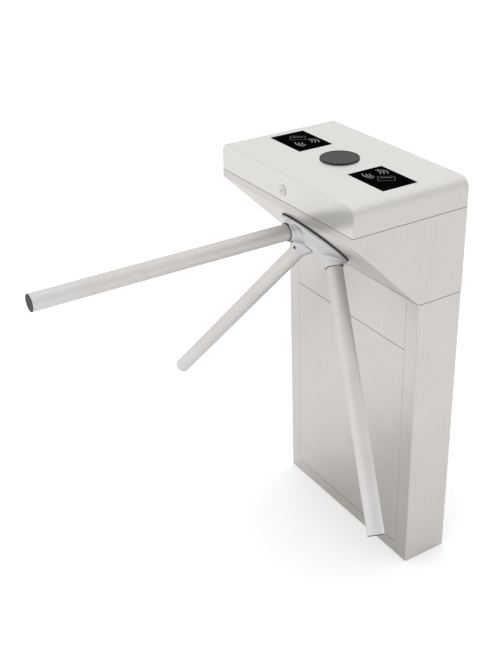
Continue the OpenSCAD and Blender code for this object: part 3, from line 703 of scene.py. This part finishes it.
plugs = bmesh.new()
seals = bmesh.new()
for i, letter in enumerate("ABC"):
    place = armPlace(i)
    tube = keepPlace(lathe(tubeProfile(), place, 72), place)
    addPiece("armTube" + letter, tube, tubeSteel, "rotor", ("arm_tube_" + letter.lower(),))
    lathe(plugProfile(), place, 48, plugs)
    socket = armFacts["socket"]
    inside, outside = armFacts["radius"] + 0.06 * mm, armFacts["radius"] + 1.75 * mm
    sealProfile = [(inside, socket - 2.9 * mm), (inside, socket - 0.2 * mm),
                   (inside + 0.5 * mm, socket + 0.3 * mm), (outside - 0.5 * mm, socket + 0.1 * mm),
                   (outside, socket - 0.5 * mm), (outside, socket - 2.9 * mm)]
    lathe(sealProfile, place, 64, seals)
addPiece("armEndPlugs", plugs, mouldedBlack, "rotor", ("arm_plugs",))
addPiece("socketSeals", seals, sealRubber, "rotor", ("socket_seals",))
print("arms done")

# hub casting: the CAD shape with cast fillets

hubFacts = {"voxel": 1.3 * mm, "smoothing": 6, "keepFaces": 0.35}
hubRaw = bpy.data.objects.new("hubCasting", frame["nodes"]["hub_casting"].data.copy())
bpy.context.scene.collection.objects.link(hubRaw)
hubRaw.data.materials.clear()
weld = hubRaw.modifiers.new("weld", "WELD")
weld.merge_threshold = 2e-6
voxels = hubRaw.modifiers.new("voxels", "REMESH")
voxels.mode = "VOXEL"
voxels.voxel_size = hubFacts["voxel"]
voxels.use_smooth_shade = True
relax = hubRaw.modifiers.new("relax", "SMOOTH")
relax.factor = 0.5
relax.iterations = hubFacts["smoothing"]
thin = hubRaw.modifiers.new("thin", "DECIMATE")
thin.ratio = hubFacts["keepFaces"]
hubMesh = bpy.data.meshes.new_from_object(hubRaw.evaluated_get(bpy.context.evaluated_depsgraph_get()))
bpy.data.objects.remove(hubRaw)
hubShape = bmesh.new()
hubShape.from_mesh(hubMesh)
bpy.data.meshes.remove(hubMesh)
addPiece("hubCasting", hubShape, hubAlloy, "rotor", ("hub_casting",), 80)

capProfile = [(0, 28.5 * mm), (7.8 * mm, 28.5 * mm), (7.8 * mm, 31.1 * mm), (12.6 * mm, 31.1 * mm),
              (13 * mm, 31.5 * mm), (13 * mm, 33.2 * mm), (12.4 * mm, 34.2 * mm), (10.5 * mm, 35.3 * mm),
              (7.5 * mm, 36.2 * mm), (4 * mm, 36.7 * mm), (0, 36.8 * mm)]
addPiece("hubCap", lathe(capProfile, hubPlace, 48), hubAlloy, "rotor", ("hub_cap",))
print("hub done")

# lock and hinge

addPiece("lockBarrel", softenEdges(nodeMesh("lock_barrel"), 0.5 * mm, 2, None, 60), lockPlate, "lid",
         ("lock_barrel",))
addPiece("lockPlug", softenEdges(nodeMesh("lock_plug"), 0.25 * mm, 2, None, 60), lockPlate, "lock",
         ("lock_plug",))

hingeFacts = {"leaf": 1.2 * mm, "inset": 6.5 * mm, "headR": 3.2 * mm, "headH": 1.1 * mm,
              "spacing": 80 * mm, "count": 6}
for node, body, label in (("hinge_leaf_cabinet", "cabinet", "Lower"), ("hinge_leaf_lid", "lid", "Upper")):
    low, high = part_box(node)
    heads = bmesh.new()
    height = low.z + hingeFacts["inset"] if body == "cabinet" else high.z - hingeFacts["inset"]
    leafFace = lidBackY + hingeFacts["leaf"]
    for k in range(hingeFacts["count"]):
        x = (k - (hingeFacts["count"] - 1) / 2) * hingeFacts["spacing"]
        spot = Matrix.Translation((x, leafFace, height)) @ Matrix.Rotation(math.radians(-90), 4, "X")
        r, h = hingeFacts["headR"], hingeFacts["headH"]
        dome = [(0, 0), (r, 0), (r * 0.97, h * 0.45), (r * 0.75, h * 0.85), (r * 0.4, h), (0, h)]
        lathe(dome, spot, 20, heads)
    addPiece("hingeRivets" + label, heads, turnedSteel, body)

# details inside the head

# places are along the hub's own axes, and depths go inwards from the hub joint's place
boltFacts = {"across": 8 * mm, "high": 3.4 * mm, "washerR": 5.2 * mm, "washerH": 0.8 * mm,
             "ringR": 40 * mm, "ringDepth": 28 * mm,
             "rearPlate": (57 * mm, 47 * mm, 125 * mm), "mechPlate": (88 * mm, 60 * mm, 20 * mm)}


def hexBolt(bm, place):
    radius = boltFacts["across"] / math.sqrt(3)
    washerR, washerH = boltFacts["washerR"], boltFacts["washerH"]
    lathe([(0, 0), (washerR, 0), (washerR, washerH), (0, washerH)], place, 24, bm)
    turns = [math.radians(60 * k) for k in range(6)]
    outline = [(radius * math.cos(turn), radius * math.sin(turn)) for turn in turns]
    prism(outline, washerH, boltFacts["high"], place, bm)


bolts = bmesh.new()
inwards = Matrix.Rotation(math.pi, 4, "X")
for turn in (45, 135, 225, 315):
    spread = Matrix.Rotation(math.radians(turn), 4, "Z")
    step = Matrix.Translation((boltFacts["ringR"], 0, -boltFacts["ringDepth"]))
    hexBolt(bolts, hubPlace @ spread @ step @ inwards)
for sx in (-1, 1):
    for sy in (-1, 1):
        for plate in ("rearPlate", "mechPlate"):
            x, y, depth = boltFacts[plate]
            hexBolt(bolts, hubPlace @ Matrix.Translation((sx * x, sy * y, -depth)) @ inwards)
addPiece("mechanismBolts", bolts, turnedSteel, "cabinet")

coilFacts = {"below": 15.1 * mm, "turns": 4, "wide": 96 * mm, "deep": 66 * mm, "pitch": 7 * mm,
             "corner": 5 * mm, "track": 3 * mm, "innerCorner": 3.6 * mm,
             "low": -0.15 * mm, "high": -0.01 * mm}
for side, node in (("Left", "reader_board_left"), ("Right", "reader_board_right")):
    low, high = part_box(node)
    coil = bmesh.new()
    place = Matrix.Translation(((low.x + high.x) / 2, (low.y + high.y) / 2, lidTop - coilFacts["below"]))
    track = coilFacts["track"]
    for turn in range(coilFacts["turns"]):
        wide = coilFacts["wide"] - coilFacts["pitch"] * turn
        deep = coilFacts["deep"] - coilFacts["pitch"] * turn
        flatRing(coil, place, roundedOutline(wide, deep, coilFacts["corner"]),
                 roundedOutline(wide - track, deep - track, coilFacts["innerCorner"]),
                 coilFacts["low"], coilFacts["high"])
    addPiece("antennaCoil" + side, coil, copperTrack, "lid")
print("fittings done")

# floor, light and camera

floorMesh = bpy.data.meshes.new("studioFloor")
floorMesh.from_pydata([(-30, -30, 0), (30, -30, 0), (30, 30, 0), (-30, 30, 0)], [], [(0, 1, 2, 3)])
floor = bpy.data.objects.new("studioFloor", floorMesh)
bpy.context.scene.collection.objects.link(floor)
floorPaint, floorTree, floorShader = newMaterial("pale studio floor")
floorShader.inputs["Base Color"].default_value = hexLinear("#FBFBFB")
floorShader.inputs["Roughness"].default_value = 0.9
floorShader.inputs["Specular IOR Level"].default_value = 0.1
floorShader.inputs["Emission Color"].default_value = hexLinear("#FFFFFF")
floorShader.inputs["Emission Strength"].default_value = 0.12  # lit from beneath, like a light table
floorPaint.cycles.emission_sampling = "NONE"  # found by bounced rays only, not sampled as a lamp
floorMesh.materials.append(floorPaint)

scene = bpy.context.scene
scene.view_settings.view_transform = "Standard"
studio = bpy.data.worlds.new("studio")
studio.use_nodes = True
skyTree = studio.node_tree
skyShader = skyTree.nodes["Background"]
skyCoords = addNode(skyTree, "ShaderNodeTexCoord")
skySides = addNode(skyTree, "ShaderNodeSeparateXYZ", {}, {"Vector": skyCoords.outputs["Generated"]})
skySlope = addNode(skyTree, "ShaderNodeMapRange", {"From Min": -0.1, "From Max": 0.9},
                   {"Value": skySides.outputs["X"]})
skyRise = addNode(skyTree, "ShaderNodeMapRange", {"From Min": 0.10, "From Max": 0.35},
                  {"Value": skySides.outputs["Z"]})
skyShade = addNode(skyTree, "ShaderNodeMath", {"operation": "MULTIPLY"},
                   {0: skySlope.outputs[0], 1: skyRise.outputs[0]})
skyTone = addNode(skyTree, "ShaderNodeMixRGB",
                  {"Color1": hexLinear("#FFFFFF"), "Color2": hexLinear("#E0E0E0")},
                  {"Fac": skyShade.outputs[0]})
skyTree.links.new(skyTone.outputs["Color"], skyShader.inputs["Color"])
skyShader.inputs["Strength"].default_value = 1.12
scene.world = studio

lightFacts = {
    "overhead": {"place": (0.2, 0.3, 2.9), "aim": (0, 0, 0.7), "size": 3.0, "power": 5},
    "frontFill": {"place": (-0.6, -3.0, 1.6), "aim": (0, 0, 0.6), "size": 2.0, "power": 4},
}
for name, facts in lightFacts.items():
    lamp = bpy.data.lights.new(name, "AREA")
    lamp.size = facts["size"]
    lamp.energy = facts["power"]
    holder = bpy.data.objects.new(name, lamp)
    scene.collection.objects.link(holder)
    holder.location = facts["place"]
    gaze = Vector(facts["aim"]) - Vector(facts["place"])
    holder.rotation_euler = gaze.to_track_quat("-Z", "Y").to_euler()

cameraFacts = {"place": (1.7787, -1.3885, 1.7674), "around": 0.99450, "up": 0.5180, "roll": -0.0168,
               "lens": 55.42, "shift": (-0.0600, 0.0225)}
around, up, roll = cameraFacts["around"], cameraFacts["up"], cameraFacts["roll"]
backward = Vector((math.sin(around) * math.cos(up), -math.cos(around) * math.cos(up), math.sin(up)))
rightward = Vector((math.cos(around), math.sin(around), 0))
upward = backward.cross(rightward)
leanRight = rightward * math.cos(roll) + upward * math.sin(roll)
leanUp = upward * math.cos(roll) - rightward * math.sin(roll)
lens = bpy.data.cameras.new("camera")
lens.lens = cameraFacts["lens"]
lens.shift_x, lens.shift_y = cameraFacts["shift"]
camera = bpy.data.objects.new("camera", lens)
scene.collection.objects.link(camera)
turned = Matrix((leanRight, leanUp, backward)).transposed().to_4x4()
camera.matrix_world = Matrix.Translation(cameraFacts["place"]) @ turned
scene.camera = camera
print("studio ready")
